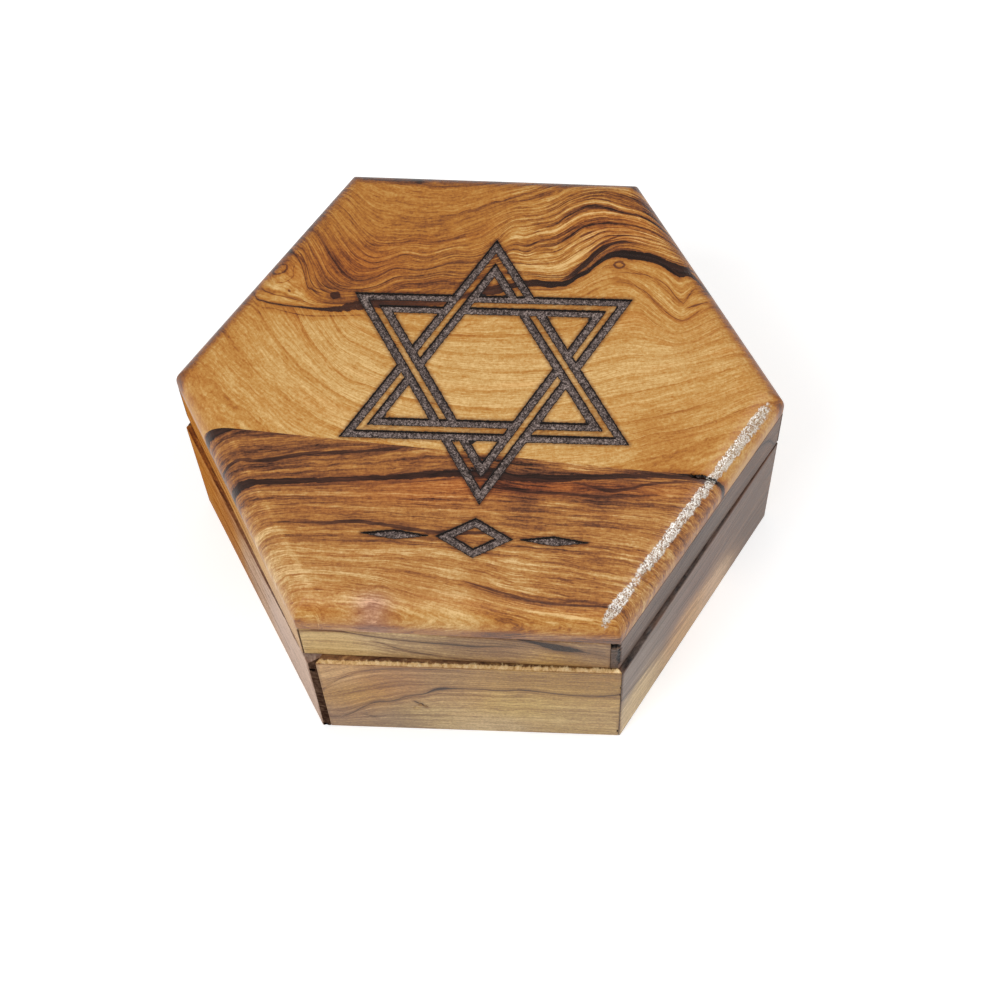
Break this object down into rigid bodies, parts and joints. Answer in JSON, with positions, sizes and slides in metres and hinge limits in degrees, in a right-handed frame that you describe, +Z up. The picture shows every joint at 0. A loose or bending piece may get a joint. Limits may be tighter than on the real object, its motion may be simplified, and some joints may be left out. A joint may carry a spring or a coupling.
{
  "type": "trinket box",
  "caption": "Hexagonal wooden trinket box with mitred walls, a flat engraved lid on small hinges, and one plain compartment.",
  "frame": {"origin": "middle of the underside, where the box rests", "axes": "+Z up, +X towards the right-hand corner, front wall faces -Y, hinges at +Y"},
  "size_m": [0.102, 0.0899, 0.0407],
  "materials": {
    "lid_wood": "thin satin oil over warm figured hardwood with dark streaks",
    "base_wood": "sanded and oiled, paler and greyer than the lid",
    "hinge_brass": "rolled brass, lightly tarnished",
    "pin_brass": "drawn brass wire",
    "screw_brass": "turned brass"
  },
  "bodies": {
    "base": {"base_floor": "base_wood", "base_wall_front": "base_wood", "base_wall_front_right": "base_wood", "base_wall_back_right": "base_wood", "base_wall_back": "base_wood", "base_wall_back_left": "base_wood", "base_wall_front_left": "base_wood", "hinge_left_base_leaf": "hinge_brass", "hinge_left_pin": "pin_brass", "hinge_left_base_screws": "screw_brass", "hinge_right_base_leaf": "hinge_brass", "hinge_right_pin": "pin_brass", "hinge_right_base_screws": "screw_brass"},
    "lid": {"lid_board_back": "lid_wood", "lid_board_front": "lid_wood", "lid_wall_front": "lid_wood", "lid_wall_front_right": "lid_wood", "lid_wall_back_right": "lid_wood", "lid_wall_back": "lid_wood", "lid_wall_back_left": "lid_wood", "lid_wall_front_left": "lid_wood", "hinge_left_lid_leaf": "hinge_brass", "hinge_left_lid_screws": "screw_brass", "hinge_right_lid_leaf": "hinge_brass", "hinge_right_lid_screws": "screw_brass"}
  },
  "joints": [
    {"name": "lid_hinge", "type": "hinge", "parent": "base", "child": "lid", "pos_m": [0, 0.04297, 0.02535], "axis": [-1, 0, 0], "range_deg": [0, 100]}
  ]
}
